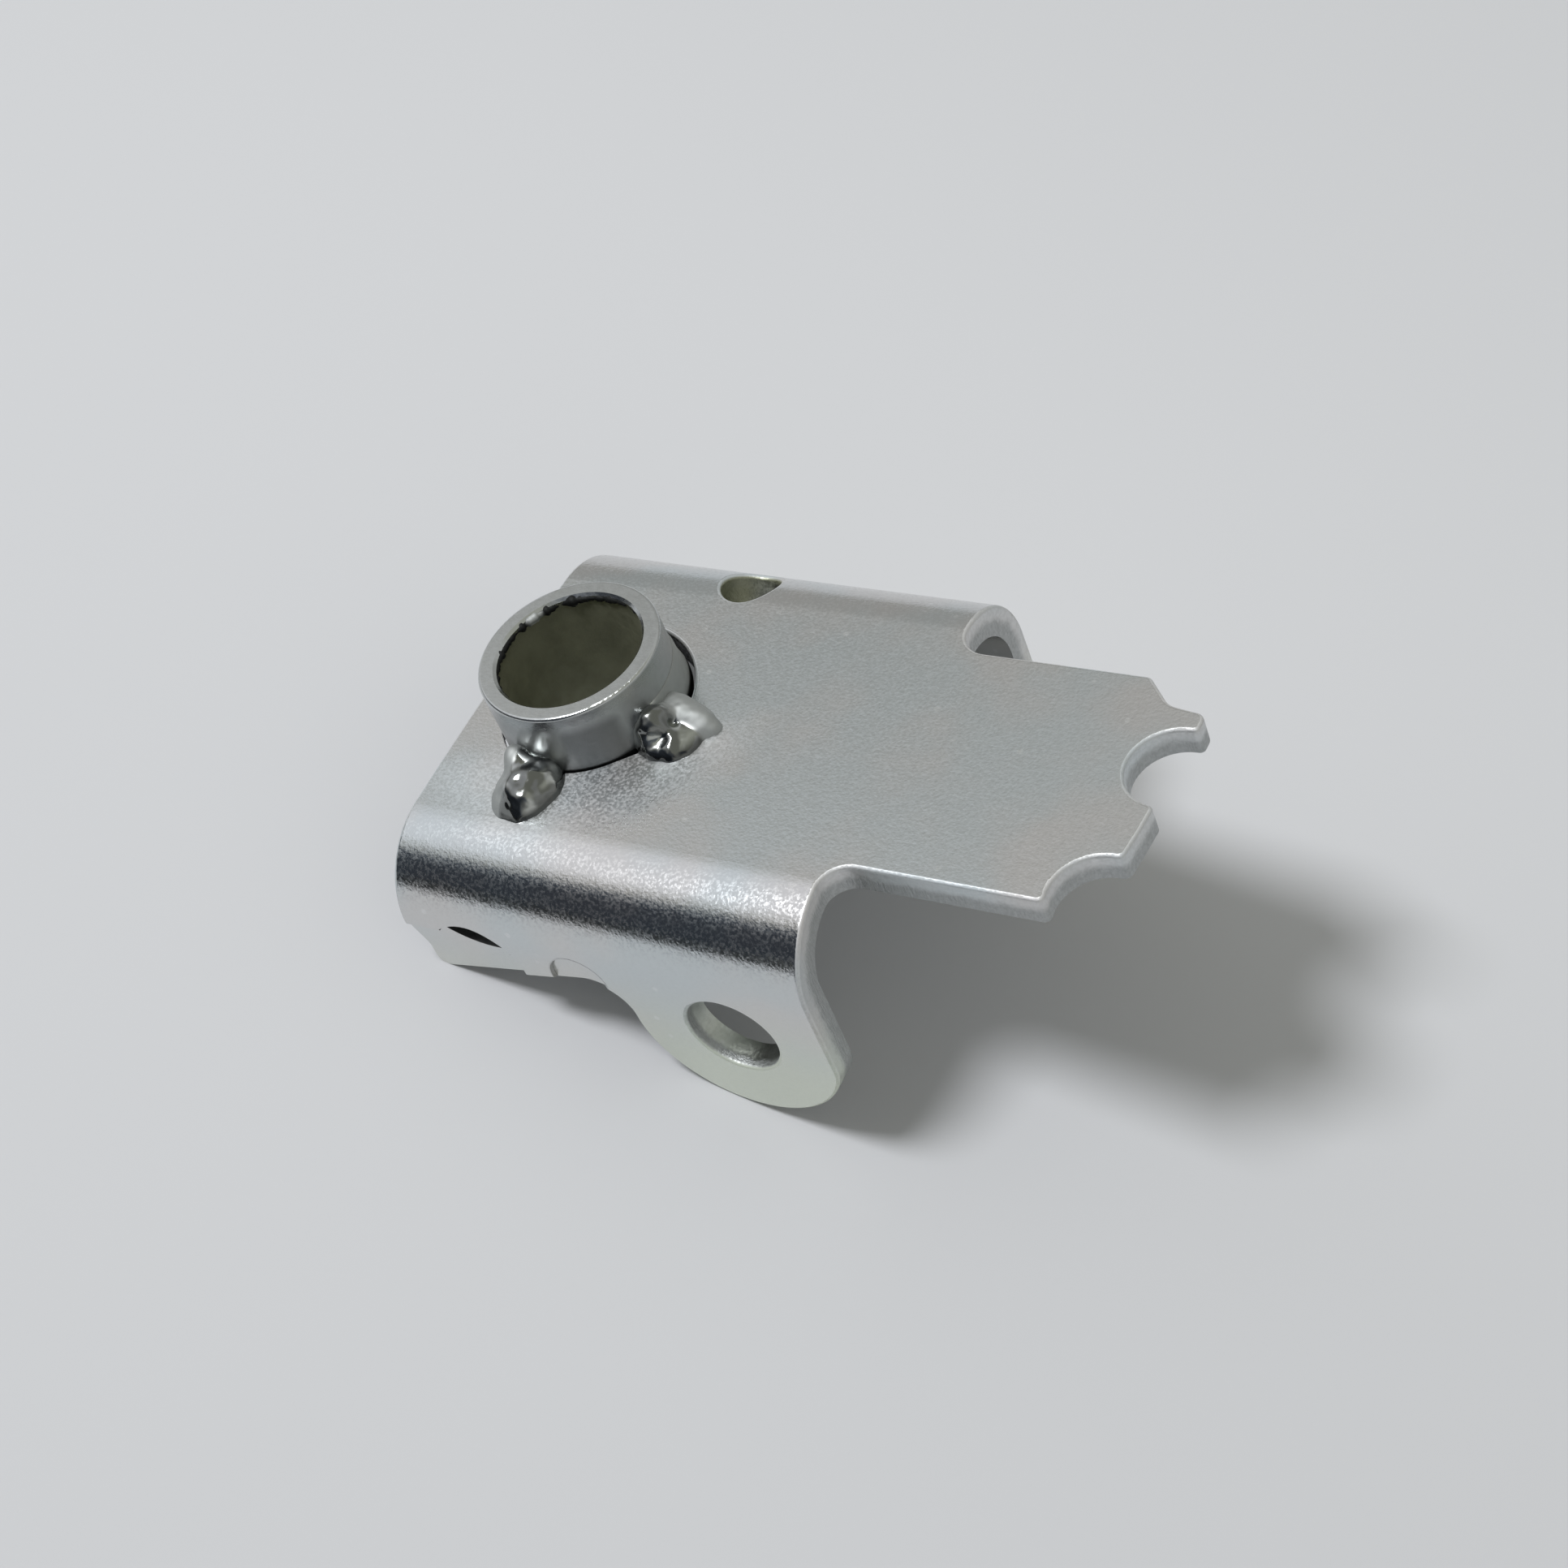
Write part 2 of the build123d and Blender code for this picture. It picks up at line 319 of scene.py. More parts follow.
def grain_height(tree, place):
    """Height of the grain and of the waviness together, where the grain alone goes from 0 to 1."""
    scale = per_mm(GRAIN_SIZE)
    fine = add(tree, CLOUD, {"Vector": place, "Scale": scale, "Roughness": GRAIN_CRISPNESS})
    wavy = add(tree, CLOUD, {"Vector": place, "Scale": per_mm(WAVE_SIZE), "Detail": 1.0})
    return add(tree, PLUS, fine, add(tree, TIMES, wavy, WAVE_SHARE))


# Sizes of the sheet's patterns in millimetres: the ragged line where tearing starts, the torn
# grain, the drift and the speckle of the plating's tone, the grain of its gloss, and the cells
# that the flecks of painted sparkle are drawn in
RAGGED_SIZE = 1.6
TEAR_SIZE = 0.28
DRIFT_SIZE = 14.0
SPECKLE_SIZE = 0.55
GLOSS_SIZE = 0.34
FLECK_CELL = 1.7
# How crisp the speckle and the torn grain are, and how the torn grain is drawn out through a wall
SPECKLE_CRISPNESS = 0.65
TEAR_STRETCH = (1.0, 1.0, 0.25)
# How far the ragged line wanders
RAGGED_WANDER = 0.8 * MM
# Least distance from the middle of a bend, so that nothing is divided by 0
LEAST_REACH = 0.5 * MM
# Softness of the line round a pivot hole
PIVOT_SOFTNESS = 0.5 * MM

# Pairs of limits on the sheet. A mark isn't there at the first one and is full at the second.
# Share of a face's direction that is the skin's own, on a cut wall and on a rolled rim
CUT_WALL = (0.75, 0.2)
ROLLED_RIM = (0.992, 0.93)
# Depth below the skin where a sheared wall is torn, and where the walls of the pivot holes are
TORN_INSIDE = mm(1.3, 2.5)
TORN_OUTSIDE = mm(1.9, 1.3)
# Parts of a pattern's range: the drift and the speckle of the tone, and the grain of the gloss
DRIFT_RANGE = (0.35, 0.65)
SPECKLE_RANGE = (0.3, 0.7)
GLOSS_RANGE = (0.38, 0.62)
# A cell has a fleck of painted sparkle if its draw is high, and the fleck ends at a share of the cell
# from its middle
FLECK_DRAW = (0.90, 0.94)
FLECK_EDGE = (0.26, 0.12)
# Painted shade in the gap round the tube: how far past the hole's radius, and how high above the
# plate
GAP_SOOT_REACH = mm(0.40, 0.10)
GAP_SOOT_HEIGHT = mm(-0.08, -0.35)
# Painted shade on the walls of the slit in the front flange: its right and left ends, its lowest
# place, and in from the skin
SLIT_RIGHT = mm(1.8, 1.2)
SLIT_LEFT = mm(-10.0, -9.4)
SLIT_LOWEST = mm(-11.9, -11.4)
SLIT_DEPTH = mm(4.0, 3.4)
# Painted shade in the pivot holes: towards the toothed end, and how deep below the skin
PIVOT_GRIME = mm(0.2, 3.2)
PIVOT_GRIME_DEPTH = mm(1.0, 1.9)
# The bend's hole: off its middle along, back and up; and the painted shade in it, along and how deep
BEND_HOLE_REACH = mm(4.0, 3.6)
BEND_HOLE_BACK = mm(11.0, 12.0)
BEND_HOLE_UP = mm(-8.0, -7.0)
BEND_GRIME = mm(0.2, 1.2)
BEND_GRIME_DEPTH = mm(0.9, 1.5)
# Painted shade line on the arc round the small mark, which also has a shallow groove in the relief:
# off its line, and in from the flange's skin
ARC_LINE = mm(0.22, 0.04)
ARC_DEPTH = mm(2.0, 1.5)
# Plating that ran down and dried thick, by height
RAN_DOWN = mm(-8.0, -24.0)
# Plating dulled by the welds' heat: out from the tube's axis, by height, and forward of the axis
HEAT_REACH = mm(23.0, 15.0)
HEAT_HEIGHT = mm(-1.0, -0.3)
HEAT_FORWARD = mm(3.0, 9.0)
# How much being along counts as forward there
HEAT_SLANT = 0.35

# How strongly each finish covers the plating where it is full
WARM_COVER = 0.9
SPECKLE_COVER = 0.08
FLECK_COVER = 0.3
TORN_COVER = 0.85
OLIVE_COVER = 0.8
ARC_COVER = 0.35
SOOT_COVER = 0.94
# Painted shade in the slit, in the pivot holes and in the bend's hole, as shares of the darkening
# colour
SLIT_SOOT = 0.8
PIVOT_SOOT = 0.85
BEND_SOOT = 1.0
# Brightness of the speckle, of the darkest torn grain and of the painted shade line on the arc, as
# shares
SPECKLE_SHADE = 0.72
TEAR_SHADE = 0.66
ARC_SHADE = 0.5
# Roughness of the plating over its grain, and what is added where it is rolled, cut, torn or dulled
SHEET_ROUGHNESS = (0.105, 0.26)
ROLLED_ROUGHNESS = 0.55
CUT_ROUGHNESS = -0.25
TORN_ROUGHNESS = 0.05
HEATED_ROUGHNESS = 0.24
# Heights of the relief
SHEET_GRAIN = 0.022 * MM
TEAR_RELIEF = 0.09 * MM
ARC_RELIEF = -0.05 * MM

# Small mark low on the front flange: along from the tube's axis and up from the plate's top
SMALL_MARK = mm(8.1, -12.45)
SMALL_MARK_RADIUS = 3.35 * MM

# Painted sparkle: lighter flecks in the grain
FLECK = linear("#F6F7F7")


def folded_skin(tree, place, facing, sizes):
    """Where the folded sheet is cut and where it is rolled, and the depth below its outer skin.

    The place and the direction that the face looks are given as back and up.
    """
    back, up = place
    facing_back, facing_up = facing
    flat_half = sizes.half_width - sizes.bend_outside
    past_flat = add(tree, LARGER, add(tree, MINUS, add(tree, UNSIGNED, back), flat_half), 0.0)
    past_flange = add(tree, LARGER, add(tree, PLUS, up, sizes.bend_outside), 0.0)
    reach = hypotenuse(tree, past_flat, past_flange)
    on_side = product(tree, past_flat, add(tree, SIGN, back), facing_back)
    on_top = add(tree, TIMES, past_flange, facing_up)
    along_skin = add(tree, UNSIGNED, add(tree, PLUS, on_side, on_top))
    alike = add(tree, OVER, along_skin, add(tree, LARGER, reach, LEAST_REACH))
    cut = add(tree, SMOOTH, alike, *CUT_WALL)
    rolled = add(tree, SMOOTH, alike, *ROLLED_RIM)
    return cut, rolled, add(tree, MINUS, sizes.bend_outside, reach)


def flecks(tree, place):
    """Faint flecks of painted sparkle, about 0.5 mm, on one cell in twelve."""
    cells = add(tree, CELLS, {"Vector": place, "Scale": per_mm(FLECK_CELL)}).outputs
    draw = add(tree, COLOUR_PARTS, {"Color": cells["Color"]}).outputs["Red"]
    chosen = add(tree, SMOOTH, draw, *FLECK_DRAW)
    return add(tree, TIMES, add(tree, SMOOTH, cells["Distance"], *FLECK_EDGE), chosen)


def plated_sheet(sizes):
    """Bright zinc plate over stamped cold-rolled steel sheet.

    The eye sees a satin metal with a fine sparkling grain that breaks up the edge of each
    reflection, faint lighter flecks of painted sparkle, and cut edges that are duller below a
    rolled rim. Painted shade darkens the gap round the tube, the slit, the holes and an arc round
    the small mark.
    """
    material, tree = new_material("zinc_plated_sheet")
    place = add(tree, PLACE).outputs["Object"]
    normal = add(tree, GEOMETRY).outputs["Normal"]
    origin = TUBE_FOOT - BACK * sizes.tube_behind_middle
    on_plate, along, back, up = leaning(tree, place, origin)
    _, _, facing_back, facing_up = leaning(tree, normal)
    from_front = add(tree, PLUS, back, sizes.half_width)
    cut, rolled, depth = folded_skin(tree, (back, up), (facing_back, facing_up), sizes)

    # Cut edge: burnished in about its first third, then torn down to the far side. The pivot
    # holes were punched the other way, so they are torn at the outer face.
    ragged = add(tree, CLOUD, {"Vector": place, "Scale": per_mm(RAGGED_SIZE)})
    depth = add(tree, TIMES_PLUS, ragged, RAGGED_WANDER, depth)
    x, _, z = add(tree, PARTS, place).outputs
    pivot_limits = (sizes.pivot_edge, sizes.pivot_edge - PIVOT_SOFTNESS)
    at_pivot = add(tree, SMOOTH, hypotenuse(tree, x, z), *pivot_limits)
    torn_inside = add(tree, SMOOTH, depth, *TORN_INSIDE)
    torn_outside = add(tree, SMOOTH, depth, *TORN_OUTSIDE)
    other_way = add(tree, MINUS, torn_outside, torn_inside)
    torn = add(tree, TIMES, add(tree, TIMES_PLUS, other_way, at_pivot, torn_inside), cut)
    speckled = {"Detail": 3.0, "Roughness": SPECKLE_CRISPNESS}
    through = add(tree, STRETCH, {"Vector": on_plate, "Scale": TEAR_STRETCH})
    tear = add(tree, CLOUD, {"Vector": through, "Scale": per_mm(TEAR_SIZE), **speckled})

    # Painted shade, nearly black, on the wall of the gap round the tube
    off_middle = add(tree, MINUS, back, sizes.tube_behind_middle)
    from_tube = hypotenuse(tree, along, off_middle)
    past_hole = add(tree, MINUS, from_tube, sizes.tube_hole)
    gap_soot = product(
        tree, add(tree, SMOOTH, past_hole, *GAP_SOOT_REACH), add(tree, SMOOTH, up, *GAP_SOOT_HEIGHT)
    )

    # Painted shade on the walls of the slit torn in the front flange
    slit_grime = product(
        tree,
        cut,
        add(tree, SMOOTH, along, *SLIT_RIGHT),
        add(tree, SMOOTH, along, *SLIT_LEFT),
        add(tree, SMOOTH, up, *SLIT_LOWEST),
        add(tree, SMOOTH, from_front, *SLIT_DEPTH),
    )

    # Painted shade deep in the pivot holes, on the side towards the toothed end, and in the bend's
    # hole
    pivot_grime = product(
        tree,
        at_pivot,
        cut,
        add(tree, SMOOTH, x, *PIVOT_GRIME),
        add(tree, SMOOTH, depth, *PIVOT_GRIME_DEPTH),
    )
    off_hole = add(tree, MINUS, along, sizes.bend_hole_place)
    in_bend_hole = product(
        tree,
        cut,
        add(tree, SMOOTH, add(tree, UNSIGNED, off_hole), *BEND_HOLE_REACH),
        add(tree, SMOOTH, back, *BEND_HOLE_BACK),
        add(tree, SMOOTH, up, *BEND_HOLE_UP),
    )
    bend_grime = product(
        tree,
        in_bend_hole,
        add(tree, SMOOTH, off_hole, *BEND_GRIME),
        add(tree, SMOOTH, depth, *BEND_GRIME_DEPTH),
    )
    # All the painted shade on the sheet: in the gap, the slit, the pivot holes and the bend's hole
    soot = strongest(
        tree,
        gap_soot,
        ((slit_grime, SLIT_SOOT), (pivot_grime, PIVOT_SOOT), (bend_grime, BEND_SOOT)),
    )

    # Painted shade line, with a shallow groove in the relief, round the small mark that the forming
    # tool left low on the front flange
    mark_along, mark_up = SMALL_MARK
    from_mark = hypotenuse(tree, add(tree, MINUS, along, mark_along), add(tree, MINUS, up, mark_up))
    off_arc = add(tree, UNSIGNED, add(tree, MINUS, from_mark, SMALL_MARK_RADIUS))
    arc = product(
        tree, add(tree, SMOOTH, off_arc, *ARC_LINE), add(tree, SMOOTH, from_front, *ARC_DEPTH)
    )

    # The plating's own tones drift over the sheet, and are speckled finely
    drift = add(tree, CLOUD, {"Vector": place, "Scale": per_mm(DRIFT_SIZE)})
    plating = add(tree, BLEND, add(tree, SMOOTH, drift, *DRIFT_RANGE), sizes.cool, sizes.zinc)
    speckle = add(tree, CLOUD, {"Vector": place, "Scale": per_mm(SPECKLE_SIZE), **speckled})
    ran_down = add(tree, SMOOTH, up, *RAN_DOWN)
    torn_steel = add(tree, BLEND, tear, shade(sizes.sheared, TEAR_SHADE), sizes.sheared)
    speckles = add(tree, SMOOTH, speckle, *SPECKLE_RANGE)
    base = laid_over(
        tree,
        plating,
        (
            (ran_down, WARM_COVER, sizes.warm),
            (speckles, SPECKLE_COVER, shade(sizes.zinc, SPECKLE_SHADE)),
            (flecks(tree, place), FLECK_COVER, FLECK),
            (torn, TORN_COVER, torn_steel),
            (in_bend_hole, OLIVE_COVER, sizes.olive),
            (arc, ARC_COVER, shade(sizes.zinc, ARC_SHADE)),
            (soot, SOOT_COVER, sizes.soot),
        ),
    )

    # The heat of welding left the plating duller in front of the tube
    forward = add(tree, MINUS, add(tree, TIMES, along, HEAT_SLANT), back)
    heated = product(
        tree,
        add(tree, SMOOTH, from_tube, *HEAT_REACH),
        add(tree, SMOOTH, up, *HEAT_HEIGHT),
        add(tree, SMOOTH, forward, *HEAT_FORWARD),
    )
    gloss = add(tree, CLOUD, {"Vector": place, "Scale": per_mm(GLOSS_SIZE)})
    roughness = summed(
        tree,
        add(tree, SMOOTH, gloss, *GLOSS_RANGE, *SHEET_ROUGHNESS),
        (
            (rolled, ROLLED_ROUGHNESS),
            (cut, CUT_ROUGHNESS),
            (torn, TORN_ROUGHNESS),
            (heated, HEATED_ROUGHNESS),
        ),
    )
    height = summed(
        tree,
        add(tree, TIMES, grain_height(tree, place), SHEET_GRAIN),
        ((add(tree, TIMES, tear, torn), TEAR_RELIEF), (arc, ARC_RELIEF)),
    )
    metal_surface(tree, base, roughness, height)
    return material


# Sizes of the tube's patterns in millimetres: the ragged edge of the bore's dull plating, the
# speckle of its wall, the patches in the bore, the billows of the wall's darkening, the clouds of
# its gloss, and the streaks round it
BORE_RAGGED_SIZE = 1.5
WALL_SPECKLE_SIZE = 0.7
WALL_SPECKLE_CRISPNESS = 0.6
BORE_PATCH_SIZE = 3.0
BILLOW_SIZE = 4.0
WALL_GLOSS_SIZE = 0.9
STREAK_SIZE = 0.4
STREAK_STRETCH = (0.25, 0.25, 1.0)
# How far up the dark billows reach, and how much being along counts as to the front right
BILLOW_RISE = 7.0 * MM
FRONT_RIGHT_SLANT = 0.785

# Pairs of limits on the tube, from none of a mark to all of it. Heights are above the plate.
# In the bore: past its radius, and past the rim's height
BORE_REACH = mm(0.15, 0.02)
BORE_HEIGHT = mm(0.2, -0.8)
# Painted shade, black in the gap; and the wall darker towards the foot, in thin billows up it
GAP_BLACK = mm(0.5, 0.0)
SMOKE = mm(2.0, -3.0)
# Darker wall between the two front welds: how far to the front right, and by height
BETWEEN_WELDS = mm(11.5, 12.4)
SCORCH = mm(7.2, 4.6)
# Darker wall on the left: along from the axis, and by height
LEFT_SMOKE = mm(-4.0, -7.5)
LEFT_SMOKE_HEIGHT = mm(7.2, 5.0)
# The wall is darker than the sawn rim above it, and dull where the welds' heat reached
BELOW_RIM = mm(7.6, 7.2)
TUBE_HEAT = mm(7.2, 5.2)
# The outer wall, past the tube's outer radius
OUTER_WALL = mm(-0.7, -0.4)

# How dark each mark makes the wall, as shares of near black, and how strongly its speckle covers it
SMOKE_SOOT = 0.68
SCORCH_SOOT = 0.76
LEFT_SOOT = 0.5
WALL_SOOT = 0.32
WALL_SPECKLE_COVER = 0.2
# Brightness of the speckle, of the dullest patches in the bore and of the darkening, as shares
WALL_SPECKLE_SHADE = 0.7
BORE_PATCH_SHADE = 0.6
TUBE_SOOT_SHADE = 0.1
# Roughness of the wall, and what is added in the bore and where heat reached
WALL_ROUGHNESS = (0.17, 0.24)
BORE_ROUGHNESS = 0.25
TUBE_HEATED_ROUGHNESS = 0.18
# Heights of the relief
TUBE_GRAIN = 0.010 * MM
STREAK_RELIEF = 0.006 * MM


def plated_tube(sizes):
    """Bright zinc plate over drawn steel tube, sawn to length.

    The eye sees a smooth grey wall with soft streaks round it, a pale sawn rim, and a bore that
    turns dark and olive where the plating could not reach.
    """
    material, tree = new_material("zinc_plated_tube")
    place = add(tree, PLACE).outputs["Object"]
    on_tube, along, back, up = leaning(tree, place, TUBE_FOOT)
    reach = hypotenuse(tree, along, back)
    ragged = add(tree, CLOUD, {"Vector": place, "Scale": per_mm(BORE_RAGGED_SIZE)})
    past_rim = add(tree, MINUS, add(tree, TIMES_PLUS, ragged, RAGGED_WANDER, up), TUBE_ABOVE)
    inside = product(
        tree,
        add(tree, SMOOTH, add(tree, MINUS, reach, sizes.bore_radius), *BORE_REACH),
        add(tree, SMOOTH, past_rim, *BORE_HEIGHT),
    )
    speckled = {"Detail": 3.0, "Roughness": WALL_SPECKLE_CRISPNESS}
    speckle = add(tree, CLOUD, {"Vector": place, "Scale": per_mm(WALL_SPECKLE_SIZE), **speckled})
    patchy = add(tree, CLOUD, {"Vector": place, "Scale": per_mm(BORE_PATCH_SIZE), "Detail": 3.0})
    dull = add(tree, BLEND, patchy, shade(sizes.inside, BORE_PATCH_SHADE), sizes.inside)

    billow = add(tree, CLOUD, {"Vector": place, "Scale": per_mm(BILLOW_SIZE), "Detail": 3.0})
    smoke = add(tree, SMOOTH, add(tree, TIMES_PLUS, billow, -BILLOW_RISE, up), *SMOKE)
    to_front_right = add(tree, MINUS, add(tree, TIMES, along, FRONT_RIGHT_SLANT), back)
    scorch = product(
        tree, add(tree, SMOOTH, to_front_right, *BETWEEN_WELDS), add(tree, SMOOTH, up, *SCORCH)
    )
    left_smoke = product(
        tree, add(tree, SMOOTH, along, *LEFT_SMOKE), add(tree, SMOOTH, up, *LEFT_SMOKE_HEIGHT)
    )
    below_rim = add(tree, SMOOTH, up, *BELOW_RIM)
    # Painted shade, black in the gap at the tube's foot; the wall is also darker in billows, at the
    # front right, on the left and below the rim
    soot = strongest(
        tree,
        add(tree, SMOOTH, up, *GAP_BLACK),
        (
            (smoke, SMOKE_SOOT),
            (scorch, SCORCH_SOOT),
            (left_smoke, LEFT_SOOT),
            (below_rim, WALL_SOOT),
        ),
    )
    outer = add(tree, SMOOTH, add(tree, MINUS, reach, sizes.radius), *OUTER_WALL)
    speckles = add(tree, SMOOTH, speckle, *SPECKLE_RANGE)
    base = laid_over(
        tree,
        sizes.zinc,
        (
            (speckles, WALL_SPECKLE_COVER, shade(sizes.zinc, WALL_SPECKLE_SHADE)),
            (inside, 1.0, dull),
            (add(tree, TIMES, soot, outer), SOOT_COVER, shade(sizes.zinc, TUBE_SOOT_SHADE)),
        ),
    )

    gloss = add(tree, CLOUD, {"Vector": place, "Scale": per_mm(WALL_GLOSS_SIZE)})
    heated = add(tree, SMOOTH, up, *TUBE_HEAT)
    roughness = summed(
        tree,
        add(tree, SMOOTH, gloss, *SPECKLE_RANGE, *WALL_ROUGHNESS),
        ((inside, BORE_ROUGHNESS), (heated, TUBE_HEATED_ROUGHNESS)),
    )
    round_it = add(tree, STRETCH, {"Vector": on_tube, "Scale": STREAK_STRETCH})
    streaks = add(tree, CLOUD, {"Vector": round_it, "Scale": per_mm(STREAK_SIZE), "Detail": 3.0})
    grain = add(tree, TIMES, grain_height(tree, place), TUBE_GRAIN)
    height = summed(tree, grain, ((streaks, STREAK_RELIEF),))
    metal_surface(tree, base, roughness, height)
    return material


# Pairs of limits on weld metal, from none of a mark to all of it. The dull skin starts behind the
# right bead's middle and to the left of the front bead's.
DULL_BEHIND = mm(0.3, 1.1)
DULL_LEFT = mm(-1.5, -2.2)
# Painted shade, dark at a bead's foot and black in the gap, by height above the plate
DARK_FOOT = mm(1.2, 0.4)
BLACK_ROOT = mm(0.1, -0.4)
# A burr is painted black beyond its glint, as dark reflection
BEYOND_GLINT = mm(0.7, 1.3)
# Painted dark reflections in patches, and clouds of gloss, as parts of their patterns' ranges
PATCH_RANGE = (0.36, 0.54)
MELT_GLOSS_RANGE = (0.35, 0.7)

# Sizes of the patterns in millimetres: painted dark reflections in patches, clouds of the gloss, and
# ripples
PATCH_SIZE = 2.1
MELT_GLOSS_SIZE = 2.2
RIPPLE_SIZE = 1.5
# How much being along counts as behind for the dull skin
DULL_SLANT = 0.23
# How dark the painted reflection patches are, how strongly the painted dark and the dull skin
# cover the metal, and how bright they and the painted black are, as shares
PATCH_DARK = 0.8
DARK_COVER = 0.9
DARK_SHADE = 0.18
DULL_COVER = 0.3
DULL_SHADE = 0.4
BLACK_SHADE = 0.06
# Roughness of frozen metal, what the dull skin adds, and the height of the ripples
MELT_ROUGHNESS = (0.10, 0.20)
DULL_ROUGHNESS = 0.52
RIPPLE_RELIEF = 0.16 * MM


def frozen_metal(name, sizes, glint=None):
    """Steel that froze from a melt, as in a weld bead or a burr, zinc plated with the rest.

    The eye sees a small mirror-like drop with dark and bright patches and a few faint ripples,
    and a dull grey skin on its far side. The dark patches are painted reflections, and the foot
    and the root carry painted shade. A burr is painted nearly black as a dark reflection, but for
    one glint.
    """
    material, tree = new_material(name)
    place = add(tree, PLACE).outputs["Object"]
    _, along, back, up = leaning(tree, place, TUBE_FOOT)
    behind = add(tree, SMOOTH, add(tree, TIMES_PLUS, along, DULL_SLANT, back), *DULL_BEHIND)
    dull = add(tree, LARGER, behind, add(tree, SMOOTH, along, *DULL_LEFT))
    # Painted dark reflections in patches, and painted shade at the foot, kept off the dull skin
    blotchy = add(tree, CLOUD, {"Vector": place, "Scale": per_mm(PATCH_SIZE), "Detail": 1.0})
    patches = add(tree, SMOOTH, blotchy, *PATCH_RANGE)
    dark = strongest(tree, add(tree, SMOOTH, up, *DARK_FOOT), ((patches, PATCH_DARK),))
    dark = add(tree, TIMES, dark, add(tree, MINUS, 1.0, dull))
    black = shade(sizes.metal, BLACK_SHADE)
    base = laid_over(
        tree,
        sizes.metal,
        (
            (dark, DARK_COVER, shade(sizes.metal, DARK_SHADE)),
            (dull, DULL_COVER, shade(sizes.metal, DULL_SHADE)),
            (add(tree, SMOOTH, up, *BLACK_ROOT), 1.0, black),
        ),
    )
    # Painted dark reflection: all of a burr but its glint is black
    if glint is not None:
        away = add(tree, SMOOTH, add(tree, APART, place, glint), *BEYOND_GLINT)
        base = add(tree, BLEND, away, base, black)
    gloss = add(tree, CLOUD, {"Vector": place, "Scale": per_mm(MELT_GLOSS_SIZE)})
    clouded = add(tree, SMOOTH, gloss, *MELT_GLOSS_RANGE, *MELT_ROUGHNESS)
    roughness = summed(tree, clouded, ((dull, DULL_ROUGHNESS),))
    ripples = add(tree, CLOUD, {"Vector": place, "Scale": per_mm(RIPPLE_SIZE), "Detail": 1.0})
    metal_surface(tree, base, roughness, add(tree, TIMES, ripples, RIPPLE_RELIEF))
    return material


# Table: places from front to back over which its painted shade fades out, the front's share of its
# brightness under that shade, and its roughness
TABLE_LIGHTENS = (-0.12, 0.10)
TABLE_FRONT_SHADE = 0.92
TABLE_ROUGHNESS = 0.75


def matt_table(sizes):
    """Pale matt laminate, even to the eye, with painted shade that makes it a little darker towards
    the front.
    """
    material, tree = new_material("pale_table")
    place = add(tree, PLACE).outputs["Object"]
    back = add(tree, PARTS, place).outputs["Y"]
    lighter = add(tree, SMOOTH, back, *TABLE_LIGHTENS)
    base = add(tree, BLEND, lighter, shade(sizes.table, TABLE_FRONT_SHADE), sizes.table)
    surface(tree, {"Base Color": base, "Roughness": TABLE_ROUGHNESS})
    return material


# Room walls: how far off and how high they are, and the tints of their light, where 1 is white
WALL_RADIUS = 1.6
WALL_HEIGHT = 3.0
DARK_TINT = (0.85, 0.98, 1.2)
WALL_TINT = (1.0, 1.005, 0.97)
WINDOW_TINT = (0.985, 0.995, 1.03)
ROOM_TINT = (1.0, 1.01, 0.89)

# Brightness of the walls. Each line has two places, in parts of the walls' radius, and then the
# brightness at each, where 1 is white. The first two are for low down and the third for high up.
LOW_BACKWARD = (-0.25, 0.35, 0.045, 0.38)
LOW_RIGHTWARD = (-0.1, 0.6, 0.0, 0.58)
HIGH_UPWARD = (0.35, 0.80, 0.38, 0.56)
# High up it is brightest on the left, and the front keeps only a share of it
HIGH_LEFTWARD = (-0.76, -1.0)
WINDOW_SIDE = 0.84
FRONT_SHARE = (-0.95, -0.55, 0.2, 1.0)
# Height at which the high part starts, lower towards the back, and how softly it does
START_HEIGHT = 0.275
START_SLOPE = -0.5
START_SOFTNESS = (-0.2, 0.2)
# Height over which the walls turn as bright as the ceiling
CEILING_HEIGHT = (1.0, 1.5)
# Brightness over which the tint changes: from dark to wall, and from wall to window
DARK_TO_WALL = (0.06, 0.30)
WALL_TO_WINDOW = (0.45, 0.85)


